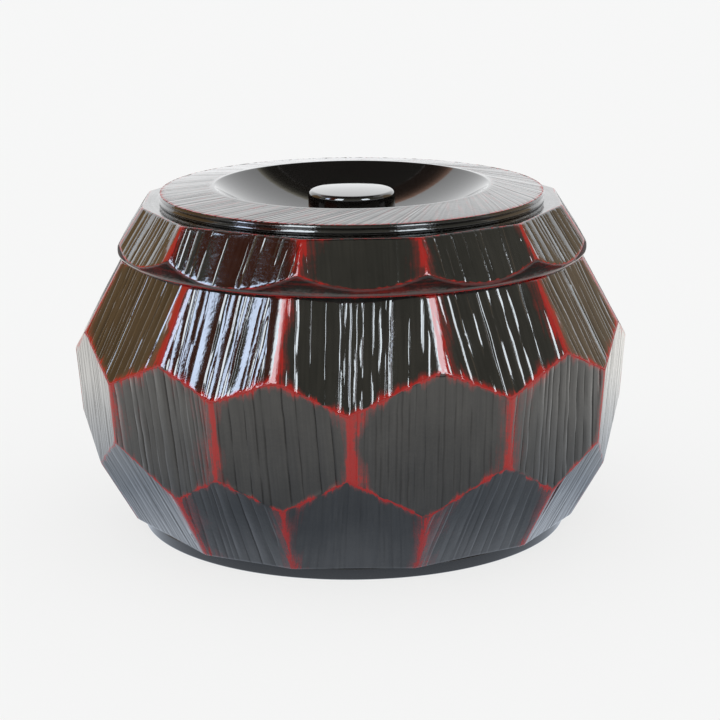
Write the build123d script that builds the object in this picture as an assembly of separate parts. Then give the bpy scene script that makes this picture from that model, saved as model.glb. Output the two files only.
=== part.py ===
from build123d import *
import os
from math import atan2, cos, degrees, radians, sin, sqrt, tan

# Lacquered wooden rice tub with tortoise-shell facets, a turned foot ring, a lift-off lid and a finger knob.
# Sizes are in millimetres, +Z is up, the foot stands on Z = 0 and every turned form is round about Z.
# Azimuths are in degrees from the front, -Y, towards +X.

# Heights of the tub
foot_reveal = 3.6
belly_height = 46.8
seam_height = 87.0

# Carved facets: the rim's distance from the axis, how far the belly swells past it, how tall the rows above
# and below the belly stand, and how many degrees the middle row leans in
facet_count = 12
rim_flat_radius = 71.1
belly_swell = 12.8
base_overhang = 0.6
upper_row_height = 23.4
lower_row_height = 28.4
middle_lean = -4.4
rim_bevel = 0.4
blank_margin = 10.0

# The carver works by eye: each facet turns a little from its even place and is cut a little deep or
# shallow. Half a round is listed from the left, and the far side repeats it.
carving_wander = 0.8
upper_twist = 1.5
upper_turns = (-1.2, 1.6, 0, -1.0, 0.6, 0.5)
upper_depth_shares = (0.35, -0.5, 0.4, -0.95, 0.25, 0.9)
middle_twist = 1.0
middle_turns = (3.2, 2.5, -0.6, -0.8, -0.7, 0.3)
middle_depth_shares = (0.6, 0.3, 0.4, -0.95, 0.25, -0.6)
lower_twist = 1.0
lower_turns = (-1.0, 3.0, 2.6, -1.1, -0.8, -1.2)
lower_depth_shares = (0.4, -0.6, 0.8, -0.5, -0.6, 0.6)
lid_twist = 0.5
lid_turns = (-0.5, -5.0, -1.0, 2.2, 1.7, 2.7)
lid_depth_shares = (0, -0.2, -0.7, 0.7, 0.2, -0.1)

# Hollow of the tub
rim_wall = 6.6
belly_wall = 9.5
corner_wall = 11.0
floor_thickness = 8.4
neck_depth = 9.0
neck_rounding = 6.0
floor_rounding = 14.0
mouth_bevel = 0.5

# Foot ring, whose tongue is glued into a groove under the tub
foot_radius = 67.9
foot_width = 7.9
foot_rounding = 0.6
tongue_width = 3.9
tongue_height = 2.0
glue_gap = 0.1

# Lid, from its plain band up to the rim of the sunk dish
band_overhang = 0.2
band_rounding = 1.2
shoulder_rise = 15.8
shoulder_inset = 6.1
lid_lean = 32.6
plate_inset = 4.5
plate_rise = 3.0
bead_groove = 0.6
edge_bulge_share = 0.33
plate_border = 17.45
dish_rim_rise = 1.7
dish_depth = 13.5
dish_rim_rounding = 0.8

# Underside of the lid, with the lip that drops into the mouth
lip_clearance = 0.4
lip_wall = 4.6
lip_depth = 6.0
lip_rounding = 0.5
centre_thickness = 5.6
centre_land_radius = 20.0
crown_width = 12.5
crown_thickness = 6.0
hollow_rounding = 4.0

# Knob, turned apart and glued into the lid by its tenon
knob_radius = 13.7
knob_height = 12.0
knob_rounding = 1.5
knob_dome = 0.5
seat_margin = 0.9
tenon_radius = 6.0
tenon_length = 3.0

# Heights, radii and leans that follow from the sizes above
floor_level = foot_reveal + floor_thickness
belly_flat_radius = rim_flat_radius + belly_swell
base_flat_radius = foot_radius + base_overhang
upper_lean = degrees(atan2(belly_swell, upper_row_height))
lower_lean = -degrees(atan2(belly_flat_radius - base_flat_radius, lower_row_height))
mouth_radius = rim_flat_radius - rim_wall
lip_radius = mouth_radius - lip_clearance
lip_bore_radius = lip_radius - lip_wall
shoulder_height = seam_height + shoulder_rise
plate_height = shoulder_height + plate_rise
dish_rim_height = plate_height + dish_rim_rise
seat_height = dish_rim_height - dish_depth
shoulder_flat_radius = rim_flat_radius - shoulder_inset
plate_radius = shoulder_flat_radius - plate_inset
dish_rim_radius = plate_radius - plate_border
seat_radius = knob_radius + seat_margin
tongue_centre_radius = foot_radius - foot_width / 2

full_turn = 360
quarter_turn = 90
pitch = full_turn / facet_count
band_radius = rim_flat_radius / cos(radians(pitch / 2)) + band_overhang


def bowl_radius(inner_radius, outer_radius, rise):
    """The radius of the ball, centred on Z, whose surface rises by this much between the two radii."""
    drop = ((outer_radius**2 - inner_radius**2) / rise + rise) / 2
    return sqrt(inner_radius**2 + drop**2)


def turned(outline):
    """A solid of revolution about Z, from a closed outline drawn as (radius, height)."""
    return revolve(Plane.XZ * make_face(outline), Axis.Z)


def rounded(face, radius, height, size):
    """The face with the corner nearest to (radius, height) rounded to the given size."""
    corner = face.vertices().sort_by_distance(Vector(radius, height))[0]
    return fillet(corner, size)


def facet_plane(azimuth, level, distance, lean):
    """The plane of one facet, at its distance from the axis where it passes the level."""
    outward = Vector(sin(radians(azimuth)), -cos(radians(azimuth)), 0)
    normal = outward * cos(radians(lean)) + Vector(0, 0, sin(radians(lean)))
    return Plane(origin=outward * distance + Vector(0, 0, level), z_dir=normal)


def carved(blank, first_azimuth, level, distance, lean, turns, depth_shares):
    """The blank with one row of facets cut off it."""
    for k in range(facet_count):
        turn = turns[k % len(turns)]
        depth = depth_shares[k % len(depth_shares)] * carving_wander
        plane = facet_plane(first_azimuth + k * pitch + turn, level, distance + depth, lean)
        blank = split(blank, bisect_by=plane, keep=Keep.BOTTOM)
    return blank


def tub_hollow():
    """The turned space inside the tub: a straight neck for the lid's lip over a bellied wall."""
    neck_level = seam_height - neck_depth
    corner_radius = base_flat_radius - floor_thickness * tan(radians(lower_lean)) - corner_wall
    outline = [
        Line((0, floor_level), (0, seam_height)),
        Line((0, seam_height), (mouth_radius, seam_height)),
        Line((mouth_radius, seam_height), (mouth_radius, neck_level)),
        ThreePointArc(
            (mouth_radius, neck_level),
            (belly_flat_radius - belly_wall, belly_height),
            (corner_radius, floor_level),
        ),
        Line((corner_radius, floor_level), (0, floor_level)),
    ]
    face = make_face(outline)
    face = rounded(face, corner_radius, floor_level, floor_rounding)
    face = rounded(face, mouth_radius, neck_level, neck_rounding)
    return revolve(Plane.XZ * face, Axis.Z)


def ring(outer_radius, inner_radius, bottom, top):
    """A plain turned ring."""
    outline = Polyline(
        (inner_radius, bottom), (outer_radius, bottom), (outer_radius, top), (inner_radius, top), close=True
    )
    return turned(outline)


def tub_body():
    """The tub: three rows of facets round a turned hollow, with a groove for the foot ring."""
    blank = ring(belly_flat_radius + blank_margin, 0, foot_reveal, seam_height)
    left = -quarter_turn
    blank = carved(
        blank, left + middle_twist + pitch / 2, belly_height, belly_flat_radius, middle_lean,
        middle_turns, middle_depth_shares,
    )
    blank = carved(
        blank, left + upper_twist, seam_height, rim_flat_radius, upper_lean,
        upper_turns, upper_depth_shares,
    )
    blank = carved(
        blank, left + lower_twist, foot_reveal, base_flat_radius, lower_lean,
        lower_turns, lower_depth_shares,
    )
    rim_edges = blank.faces().sort_by(Axis.Z)[-1].edges()
    blank = chamfer(rim_edges, rim_bevel)
    tub = blank - tub_hollow()
    mouth_edge = tub.edges().filter_by(GeomType.CIRCLE).group_by(Axis.Z)[-1]
    tub = chamfer(mouth_edge, mouth_bevel)
    half_groove = tongue_width / 2 + glue_gap
    groove = ring(
        tongue_centre_radius + half_groove,
        tongue_centre_radius - half_groove,
        foot_reveal,
        foot_reveal + tongue_height + glue_gap,
    )
    return tub - groove


def foot_ring():
    """The plain foot ring and its tongue, in one turning."""
    foot_outline = Polyline(
        (foot_radius - foot_width, 0),
        (foot_radius, 0),
        (foot_radius, foot_reveal),
        (tongue_centre_radius + tongue_width / 2, foot_reveal),
        (tongue_centre_radius + tongue_width / 2, foot_reveal + tongue_height),
        (tongue_centre_radius - tongue_width / 2, foot_reveal + tongue_height),
        (tongue_centre_radius - tongue_width / 2, foot_reveal),
        (foot_radius - foot_width, foot_reveal),
        close=True,
    )
    face = make_face(foot_outline)
    face = rounded(face, foot_radius, 0, foot_rounding)
    face = rounded(face, foot_radius - foot_width, 0, foot_rounding)
    return revolve(Plane.XZ * face, Axis.Z)


def plate_side():
    """Edges of the plate's turned side, from the shoulder up: a cove between two beads and a crisp edge."""
    bead_rise = plate_rise / 2
    waist = (plate_radius - bead_groove, shoulder_height + bead_rise)
    foot = (plate_radius - bead_groove, shoulder_height)
    top = (plate_radius, plate_height)
    return [
        ThreePointArc(foot, (plate_radius, shoulder_height + bead_rise / 2), waist),
        ThreePointArc(waist, (plate_radius - bead_groove * edge_bulge_share, waist[1] + bead_rise / 2), top),
    ]


def lid_body():
    """The lid: a faceted skirt, a raised plate with a sunk dish, and a hollow underside with its lip."""
    lip_foot = seam_height - lip_depth
    underside_height = seat_height - centre_thickness
    crown_height = plate_height - crown_thickness
    crown_radius = lip_bore_radius - crown_width
    hole_radius = tenon_radius + glue_gap
    hole_floor = seat_height - tenon_length - glue_gap
    dish_curve_radius = bowl_radius(seat_radius, dish_rim_radius, dish_depth)
    outline = [
        Polyline(
            (0, hole_floor),
            (0, underside_height),
            (centre_land_radius, underside_height),
        ),
        RadiusArc(
            (centre_land_radius, underside_height), (crown_radius, crown_height),
            -(dish_curve_radius + centre_thickness),
        ),
        Polyline(
            (crown_radius, crown_height),
            (lip_bore_radius, crown_height),
            (lip_bore_radius, lip_foot),
            (lip_radius, lip_foot),
            (lip_radius, seam_height),
            (band_radius, seam_height),
            (band_radius, shoulder_height),
            (plate_radius - bead_groove, shoulder_height),
        ),
        *plate_side(),
        Line((plate_radius, plate_height), (dish_rim_radius, dish_rim_height)),
        RadiusArc((dish_rim_radius, dish_rim_height), (seat_radius, seat_height), dish_curve_radius),
        Polyline(
            (seat_radius, seat_height),
            (hole_radius, seat_height),
            (hole_radius, hole_floor),
            (0, hole_floor),
        ),
    ]
    face = make_face(outline)
    face = rounded(face, band_radius, seam_height, band_rounding)
    face = rounded(face, dish_rim_radius, dish_rim_height, dish_rim_rounding)
    face = rounded(face, lip_bore_radius, crown_height, hollow_rounding)
    face = rounded(face, crown_radius, crown_height, hollow_rounding)
    face = rounded(face, centre_land_radius, underside_height, hollow_rounding)
    face = rounded(face, lip_radius, lip_foot, lip_rounding)
    face = rounded(face, lip_bore_radius, lip_foot, lip_rounding)
    blank = revolve(Plane.XZ * face, Axis.Z)
    return carved(
        blank, -quarter_turn + lid_twist, shoulder_height, shoulder_flat_radius, lid_lean,
        lid_turns, lid_depth_shares,
    )


def lid_knob():
    """The knob: a drum with a rounded top edge and a low dome, on its tenon."""
    top = seat_height + knob_height
    edge_height = top - knob_dome
    edge_radius = knob_radius - knob_rounding
    slant = knob_rounding * cos(radians(quarter_turn / 2))
    dome_curve_radius = bowl_radius(0, edge_radius, knob_dome)
    outline = [
        Polyline(
            (0, top),
            (0, seat_height - tenon_length),
            (tenon_radius, seat_height - tenon_length),
            (tenon_radius, seat_height),
            (knob_radius, seat_height),
            (knob_radius, edge_height - knob_rounding),
        ),
        ThreePointArc(
            (knob_radius, edge_height - knob_rounding),
            (edge_radius + slant, edge_height - knob_rounding + slant),
            (edge_radius, edge_height),
        ),
        RadiusArc((edge_radius, edge_height), (0, top), -dome_curve_radius),
    ]
    return turned(outline)


os.makedirs("parts", exist_ok=True)
for name, make in (
    ("tub_body", tub_body),
    ("foot_ring", foot_ring),
    ("lid_body", lid_body),
    ("lid_knob", lid_knob),
):
    export_step(make(), f"parts/{name}.step")
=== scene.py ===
import math
from typing import NamedTuple

import bpy
import numpy as np
from bpy.props import FloatProperty, FloatVectorProperty, IntProperty, PointerProperty
from mathutils import Matrix, Vector


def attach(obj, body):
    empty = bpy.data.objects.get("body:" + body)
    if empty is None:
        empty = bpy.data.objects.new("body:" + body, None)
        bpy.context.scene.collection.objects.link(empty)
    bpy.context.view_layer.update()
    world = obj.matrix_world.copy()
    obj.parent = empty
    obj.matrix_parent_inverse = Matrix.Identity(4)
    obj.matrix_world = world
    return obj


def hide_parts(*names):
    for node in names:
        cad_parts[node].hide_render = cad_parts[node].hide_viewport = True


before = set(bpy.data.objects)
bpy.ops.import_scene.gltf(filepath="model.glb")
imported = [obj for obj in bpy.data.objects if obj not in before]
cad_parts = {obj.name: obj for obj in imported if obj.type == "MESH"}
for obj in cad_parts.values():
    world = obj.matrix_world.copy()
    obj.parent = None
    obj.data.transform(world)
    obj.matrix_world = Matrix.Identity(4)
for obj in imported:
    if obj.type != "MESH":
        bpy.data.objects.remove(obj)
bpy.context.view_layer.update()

bl_info = {
    "name": "Faceted lacquer rice tub",
    "version": (1, 0, 0),
    "blender": (4, 5, 0),
    "location": "View3D > Sidebar > Rice Tub",
    "description": "Carves, turns and lacquers a lidded rice tub over its solid parts",
    "category": "Add Mesh",
}

MM = 0.001
FACETS = 12
PITCH = math.tau / FACETS
TURNED_STEPS = 192
# Distance from a rubbed edge, in half widths of the rubbed band, at which the black coat is whole.
UNRUBBED = 6.0
# Texture units in a metre of surface, and how far apart two facets and two rows stand in the texture.
GRAIN = 10
FACET_GRAIN = 61 * MM
ROW_GRAIN = 0.9
# Height of the middle of the room that the gloss mirrors.
ROOM_MIDDLE = 0.07

# Facets are counted round from the left. In the middle row 2 and 3 stand in front, in the others 3 does.
# Places of carved lines on single facets, in mm from the facet's middle.
FRONT_LINES = {
    2: (-18.4, -16.1, -13.2, -12.2, -9.7, -7.7, -2.5, -0.9, 2.3, 4.3, 6.2, 9.8, 11.8, 13.0, 15.0, 18.2),
    3: (-19.3, -16.9, -13.0, -8.4, -4.2, -3.0, -1.5, 0.1, 1.8, 5.0, 7.0, 8.8, 10.1, 15.4, 19.1),
    4: (-15.9, -12.9, -10.4, -6.0, -2.6, 0.9, 4.8, 8.0, 12.7, 19.1),
}
BELLY_LINES = {2: (-18.0, -14.3, -9.7, -6.6, -4.3, 1.9, 5.9, 11.3, 16.0)}
LID_LINES = {2: (-12.3, -9.4, -3.4, 4.1, 5.6, 8.9, 13.3)}

# How the strips between the lines tip on the upper facet left of the front, in degrees.
FRONT_TIPS = {2: (0.5, 1.0, 1.5, -5.5, 1.0, 2.0, 0.5, -6.0, 1.0, -5.5, 1.5, -5.0, 0.5, -6.0, 1.0, -5.0, -4.5)}

# How deep the lines of single facets are cut against the usual.
SIDE_FORCE = {k: 0.4 for k in (0, 5, 6, 11)}
UPPER_FORCE = {1: 0.7, 4: 1.2, 5: 0.8}
MIDDLE_FORCE = {**SIDE_FORCE, 1: 0.85, 3: 0.6, 4: 0.85}
LOWER_FORCE = {**SIDE_FORCE, 1: 0.4, 2: 0.7, 3: 0.5, 4: 0.4, 5: 0.5}
LID_FORCE = {2: 0.9, 3: 0.25, 4: 0.45}

# How often the steep side of a line is its right one, where it isn't half of the time.
UPPER_FACING = {1: 0.9, 2: 0.9, 3: 0.3, 4: 0.1, 5: 0.1}
LID_FACING = {2: 0.1}

# How far the lines of single facets lean, and how far they spread downwards.
UPPER_SLANTS = {**{k: (0.0, 0.0) for k in range(FACETS)}, 3: (-0.035, 0.0)}
MIDDLE_SLANTS = {1: (0.08, 0.0), 2: (0.055, 0.0), 3: (0.0, 0.0)}

# How the ridges are rubbed through, on the left and on the right of each: half width in mm, and a spread that
# is below 1 where the rubbing runs out in streaks.
UPPER_RUBS = (
    ((1.3, 0.9), (1.3, 0.9)), ((2.1, 0.9), (1.2, 0.9)), ((0.4, 0.9), (2.3, 1.5)),
    ((0.35, 0.9), (2.6, 1.2)), ((1.8, 0.8), (1.4, 0.8)), ((1.3, 0.9), (1.3, 0.9)),
)
MIDDLE_RUBS = (
    ((0.8, 0.6), (1.5, 0.5)), ((1.1, 0.42), (1.3, 1.1)), ((0.6, 0.6), (3.5, 2.0)),
    ((0.9, 0.6), (1.5, 0.55)), ((0.7, 0.7), (0.9, 0.7)), ((0.8, 0.8), (0.8, 0.8)),
)
LOWER_RUBS = (
    ((0.8, 0.7), (0.8, 0.7)), ((1.1, 0.6), (1.3, 0.5)), ((1.1, 0.6), (1.0, 0.6)),
    ((1.1, 0.8), (1.6, 0.55)), ((0.8, 0.6), (0.9, 0.6)), ((0.9, 0.7), (0.9, 0.7)),
)
LID_RUBS = (
    ((1.0, 0.8), (1.0, 0.8)), ((1.5, 0.8), (1.2, 0.8)), ((0.9, 0.6), (1.2, 0.55)),
    ((1.2, 0.6), (1.1, 0.65)), ((1.0, 0.8), (1.0, 0.8)), ((1.1, 0.8), (1.1, 0.8)),
)

# A cut across a line: place in half widths, share of the depth, and how little it is polished.
FULL_CUT = (
    (-0.75, 0, 0), (-0.62, 0.12, 0.4), (-0.33, 0.86, 1), (-0.2, 1, 1), (0, 0.84, 0.9), (0.85, 0.14, 0.3),
    (1.08, 0, 0),
)
PLAIN_CUT = ((-0.8, 0, 0), (-0.3, 0.95, 1), (0.05, 0.9, 0.9), (0.75, 0.15, 0.25), (1.08, 0, 0))

# The profile of one bead on the plate's side: how far it stands out, and how high, as shares.
BEAD = (
    (0, 0.08), (0.3, 0.2), (0.75, 0.3), (0.98, 0.38), (1, 0.44), (0.93, 0.52), (0.35, 0.84), (0.22, 0.92),
    (0, 0.97),
)

# How much softer the worn ridges at the front are, by the facet on their left.
UPPER_WORN = {2: 0.9, 3: 1.8}

# Azimuth of each row's first facet, in degrees. The middle row stands half a facet round from the others.
UPPER_START = -88.5
MIDDLE_START = -74
LOWER_START = -89
LID_START = -89.5

# The carver works by eye, so each facet turns a little, in degrees, and is cut a little deep or shallow.
# Half a round is listed from the left, and the far side repeats it.
UPPER_TURNS = (-1.2, 1.6, 0, -1.0, 0.6, 0.5)
UPPER_DEPTHS = (0.35, -0.5, 0.4, -0.95, 0.25, 0.9)
MIDDLE_TURNS = (3.2, 2.5, -0.6, -0.8, -0.7, 0.3)
MIDDLE_DEPTHS = (0.6, 0.3, 0.4, -0.95, 0.25, -0.6)
LOWER_TURNS = (-1.0, 3.0, 2.6, -1.1, -0.8, -1.2)
LOWER_DEPTHS = (0.4, -0.6, 0.8, -0.5, -0.6, 0.6)
LID_TURNS = (-0.5, -5.0, -1.0, 2.2, 1.7, 2.7)
LID_DEPTHS = (0, -0.2, -0.7, 0.7, 0.2, -0.1)


def length(name, description, millimetres):
    """A size property in metres."""
    size = millimetres * MM
    return FloatProperty(name=name, description=description, default=size, min=0, unit="LENGTH", precision=5)


def lean(name, description, degrees):
    """An angle property."""
    angle = math.radians(degrees)
    return FloatProperty(name=name, description=description, default=angle, subtype="ANGLE")


def share(name, description, value):
    """A plain share or strength."""
    return FloatProperty(name=name, description=description, default=value, min=0)


def colour(name, description, value):
    """A linear colour property."""
    return FloatVectorProperty(
        name=name, description=description, default=value, subtype="COLOR", min=0, max=1)


class TubSizes(bpy.types.PropertyGroup):
    """Sizes of the tub and its foot ring."""

    foot_reveal: length("Foot reveal", "Height of the foot ring that shows", 3.6)
    belly_height: length("Belly height", "Level that the middle row of facets is set out from", 46.8)
    seam_height: length("Seam height", "Top of the tub, where the lid meets it", 87.0)
    rim_flat: length("Rim across facets", "Rim's distance from the axis at the middle of a facet", 71.1)
    belly_swell: length("Belly swell", "How far the belly swells past the rim", 12.8)
    base_overhang: length("Base overhang", "How far the base stands past the foot ring", 0.6)
    upper_row: length("Upper row height", "Height over which the upper facets lean in", 23.4)
    lower_row: length("Lower row height", "Height over which the lower facets lean in", 28.4)
    middle_lean: lean("Middle lean", "How far the middle facets lean in towards the top", -4.4)
    carving_wander: length("Carving wander", "How far a facet may be cut deep or shallow", 0.8)
    upper_ridge: length("Upper ridge softness", "Rounding of the ridges between upper facets", 0.34)
    ridge: length("Ridge softness", "Rounding of the ridges between the other facets", 0.2)
    crease: length("Crease softness", "Rounding of the edges between the rows", 0.16)
    edge_round: length("Edge rounding", "Rounding of the rim's and the base's outer edge", 0.45)
    rim_wall: length("Rim wall", "Wall at the rim", 6.6)
    belly_wall: length("Belly wall", "Wall at the belly", 9.5)
    corner_wall: length("Corner wall", "Wall at the corner of the floor", 11.0)
    floor_thickness: length("Floor thickness", "Thickness of the floor", 8.4)
    neck_depth: length("Neck depth", "Straight part of the mouth", 9.0)
    neck_rounding: length("Neck rounding", "Rounding below the neck", 6.0)
    floor_rounding: length("Floor rounding", "Rounding round the floor", 14.0)
    mouth_bevel: length("Mouth bevel", "Bevel of the mouth's edge", 0.5)
    foot_radius: length("Foot radius", "Outer radius of the foot ring", 67.9)
    foot_width: length("Foot width", "Width of the foot ring", 7.9)
    foot_rounding: length("Foot rounding", "Rounding of the foot ring's lower edges", 0.6)
    tongue_width: length("Tongue width", "Width of the foot ring's tongue", 3.9)
    tongue_height: length("Tongue height", "Height of the foot ring's tongue", 2.0)
    glue_gap: length("Glue gap", "Thickness of a glue line", 0.1)


class LidSizes(bpy.types.PropertyGroup):
    """Sizes of the lid and its knob."""

    band_overhang: length("Band overhang", "How far the lid's band stands past the rim's corners", 0.2)
    band_rounding: length("Band rounding", "Rounding of the band's lower edge", 1.2)
    shoulder_rise: length("Shoulder rise", "Height of the shoulder above the seam", 15.8)
    shoulder_inset: length("Shoulder inset", "How far the shoulder stands in from the rim", 6.1)
    lid_lean: lean("Lid lean", "How far the lid's facets lean in", 32.6)
    ridge: length("Lid ridge softness", "Rounding of the ridges between the lid's facets", 0.2)
    plate_inset: length("Plate inset", "How far the plate stands in from the shoulder", 4.5)
    plate_rise: length("Plate rise", "Height of the plate's side", 3.0)
    bead_groove: length("Bead groove", "Depth of the grooves between the beads", 0.6)
    plate_border: length("Plate border", "Width of the plate between its edge and the dish", 17.45)
    dish_rim_rise: length("Dish rim rise", "Height of the dish's rim above the plate's edge", 1.7)
    dish_depth: length("Dish depth", "Depth of the dish to the knob's seat", 13.5)
    dish_rim_rounding: length("Dish rim rounding", "Rounding of the dish's rim", 0.8)
    lip_clearance: length("Lip clearance", "Gap between the lip and the mouth", 0.4)
    lip_wall: length("Lip wall", "Wall of the lip", 4.6)
    lip_depth: length("Lip depth", "How far the lip drops into the mouth", 6.0)
    lip_rounding: length("Lip rounding", "Rounding of the lip's edges", 0.5)
    centre_thickness: length("Centre thickness", "Thickness under the knob", 5.6)
    centre_land: length("Centre land", "Radius of the flat under the knob", 20.0)
    crown_width: length("Crown width", "Width of the hollow under the plate", 12.5)
    crown_thickness: length("Crown thickness", "Thickness of the plate", 6.0)
    hollow_rounding: length("Hollow rounding", "Rounding in the lid's hollow", 4.0)
    knob_radius: length("Knob radius", "Radius of the knob", 13.7)
    knob_height: length("Knob height", "Height of the knob above its seat", 12.0)
    knob_rounding: length("Knob rounding", "Rounding of the knob's top edge", 1.5)
    knob_dome: length("Knob dome", "Rise of the knob's top", 0.5)
    seat_margin: length("Seat margin", "How far the seat stands past the knob", 0.9)
    tenon_radius: length("Tenon radius", "Radius of the knob's tenon", 6.0)
    tenon_length: length("Tenon length", "Length of the knob's tenon", 3.0)


class CarvingSizes(bpy.types.PropertyGroup):
    """The fine lines that the plane leaves down each facet."""

    seed: IntProperty(name="Hand", description="Changes the places of the carved lines", default=7, min=0)
    line_spacing: length("Line spacing", "Usual distance between two carved lines", 3.0)
    line_width: length("Line width", "Half the width of a carved line on the upper facets", 0.48)
    line_slope: lean("Line slope", "Slope of a carved line's gentle side on the upper facets", 16.0)
    low_width: length("Lower line width", "Half the width of a carved line on the lower facets", 0.42)
    low_slope: lean("Lower line slope", "Slope of a carved line's gentle side on the lower facets", 18.0)
    strip_tilt: lean("Strip tilt", "How far the strips between the lines tip to either side", 4.5)
    wobble: length("Wobble", "How far a line wanders sideways", 0.16)


class LacquerColours(bpy.types.PropertyGroup):
    """Colours of the lacquer coats."""

    black: colour("Black coat", "Upper coat", (0.0065, 0.0058, 0.0048))
    red: colour("Red coat", "Lower coat that shows where the black is rubbed through", (0.37, 0.012, 0.009))
    deep_red: colour("Deep red", "Red seen through a thin black coat", (0.13, 0.009, 0.007))
    plain_black: colour("Plain black", "Coat of the turned pieces", (0.005, 0.0048, 0.0045))
    inside: colour("Inside coat", "Coat inside the tub and the lid", (0.0065, 0.006, 0.0055))
    roughness: share("Roughness", "Roughness of the polished coat", 0.09)


class StudioSetup(bpy.types.PropertyGroup):
    """Camera, floor and lights."""

    camera_distance: length("Camera distance", "Distance of the camera from the tub's axis", 694.8)
    camera_height: length("Camera height", "Height of the camera above the floor", 229.6)
    pitch: lean("Pitch", "How far the camera looks down", 14.493)
    yaw: lean("Yaw", "How far the camera turns to the right", 0.183)
    roll: lean("Roll", "How far the camera leans", -0.456)
    lens: FloatProperty(
        name="Lens", description="Focal length", default=111.9, min=1, subtype="DISTANCE_CAMERA")
    floor_colour: colour("Floor", "Colour of the floor", (0.87, 0.875, 0.88))
    sky_light: share("Sky light", "Strength of the even light from all sides", 0.93)
    window_light: share("Window light", "Brightness of the window panels", 11.0)
    wall_light: share("Wall light", "Brightness of the dim wall in front", 0.3)
    back_light: share("Back light", "Brightness of the soft box behind", 1.12)


# Turned outlines, as points of (radius, height)


def wrapped(angle):
    """An angle brought to within half a turn of zero."""
    return (angle + math.pi) % math.tau - math.pi


def arc_points(middle, radius, first, turn, steps, start=0):
    """Points of an arc round a middle, from a first angle through a turn."""
    angles = [first + turn * k / steps for k in range(start, steps + 1)]
    return [(middle[0] + radius * math.cos(a), middle[1] + radius * math.sin(a)) for a in angles]


def corner_arc(before, corner, after, radius, steps=6):
    """The points of a rounded corner between two straight or nearly straight runs."""
    a = np.subtract(before, corner)
    b = np.subtract(after, corner)
    a = a / np.hypot(*a)
    b = b / np.hypot(*b)
    half = math.acos(max(-1.0, min(1.0, float(a @ b)))) / 2
    reach = radius / math.tan(half)
    middle = np.add(corner, (a + b) / np.hypot(*(a + b)) * radius / math.sin(half))
    start = np.add(corner, a * reach) - middle
    end = np.add(corner, b * reach) - middle
    first = math.atan2(start[1], start[0])
    return arc_points(middle, radius, first, wrapped(math.atan2(end[1], end[0]) - first), steps)


def bowl_radius(inner, outer, rise):
    """The radius of the ball, centred on the axis, whose surface rises by this much between the two radii."""
    drop = ((outer**2 - inner**2) / rise + rise) / 2
    return math.sqrt(inner**2 + drop**2)


def bowl_point(ball, radius, rim, rim_height):
    """Point at a radius of a bowl that is part of a ball and has its rim at a known radius and height."""
    return radius, rim_height + math.sqrt(ball**2 - rim**2) - math.sqrt(ball**2 - radius**2)


def arc_between(start, end, radius, steps):
    """Points of a circle's arc from start to end, without the start. Its middle lies left of the run."""
    s, e = np.array(start), np.array(end)
    chord = e - s
    gap = np.hypot(*chord)
    across = np.array((-chord[1], chord[0])) / gap
    middle = (s + e) / 2 + across * math.sqrt(radius**2 - gap**2 / 4)
    first = math.atan2(*(s - middle)[::-1])
    return arc_points(middle, radius, first, wrapped(math.atan2(*(e - middle)[::-1]) - first), steps, 1)


def circle_through(a, b, c):
    """Middle and radius of the circle through three points."""
    (ax, ay), (bx, by), (cx, cy) = a, b, c
    d = 2 * (ax * (by - cy) + bx * (cy - ay) + cx * (ay - by))
    ux = ((ax**2 + ay**2) * (by - cy) + (bx**2 + by**2) * (cy - ay) + (cx**2 + cy**2) * (ay - by)) / d
    uy = ((ax**2 + ay**2) * (cx - bx) + (bx**2 + by**2) * (ax - cx) + (cx**2 + cy**2) * (bx - ax)) / d
    return (ux, uy), math.hypot(ax - ux, ay - uy)


# Rows of facets


class FacetRow:
    """One row of flat facets round the axis. Azimuths are in radians from the front, -Y, towards +X.

    Worn says how much softer single ridges are, by the facet on their left."""

    WORN_REACH = 0.11  # how far a worn ridge's softness spreads to either side, in radians

    def __init__(self, first, turns, depths, wander, level, flat, slope, softness, worn=()):
        count = range(FACETS)
        self.azimuths = np.array([math.radians(first + turns[k % len(turns)]) + k * PITCH for k in count])
        self.flats = np.array([flat + depths[k % len(depths)] * wander for k in count])
        self.level = level
        self.slope = slope
        self.softness = softness
        self.worn = dict(worn)

    def flat_at(self, z):
        """Distance of every facet from the axis at a height; the last axis is the facet."""
        return self.flats - (np.asarray(z)[..., None] - self.level) * self.slope

    def radius(self, azimuth, z, soft=True):
        """Radius of the row's surface."""
        turn = np.cos(azimuth[..., None] - self.azimuths)
        reach = self.flat_at(z) / np.maximum(turn, 0.25)
        low = reach.min(-1, keepdims=True)
        if not soft:
            return low[..., 0]
        softness = np.full(low.shape, self.softness)
        for k, more in self.worn.items():
            off = azimuth[..., None] - (self.azimuths[k] + self.azimuths[(k + 1) % FACETS]) / 2
            softness *= 1 + more * np.exp(-((wrapped(off) / self.WORN_REACH) ** 2))
        return low[..., 0] - softness[..., 0] * np.log(np.exp((low - reach) / softness).sum(-1))

    def ridge(self, k, z):
        """Azimuth of the ridge between facet k and the next one, at a height."""
        a, b = self.azimuths[k], self.azimuths[(k + 1) % FACETS]
        flats = self.flat_at(z)
        fa, fb = flats[..., k], flats[..., (k + 1) % FACETS]
        where = np.arctan2(fb * math.cos(a) - fa * math.cos(b), fa * math.sin(b) - fb * math.sin(a))
        return a + (where - a + math.pi / 2) % math.pi - math.pi / 2


def soft_lower(values, softness):
    """The lowest of several radii, with the meeting edges rounded."""
    stack = np.stack(values)
    low = stack.min(0)
    return low - softness * np.log(np.exp((low - stack) / softness).sum(0))


def waver(rng, span, amount):
    """A smooth random wave of a length, as a function."""
    waves = []
    for _ in range(4):
        pace = rng.uniform(0.4, 1.6) * math.tau / span
        waves.append((pace, rng.uniform(0, math.tau), rng.uniform(0.4, 1.0)))
    total = sum(weight for _, _, weight in waves)
    return lambda t: amount * sum(np.sin(t * f + p) * s for f, p, s in waves) / total


# Ring meshes


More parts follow.
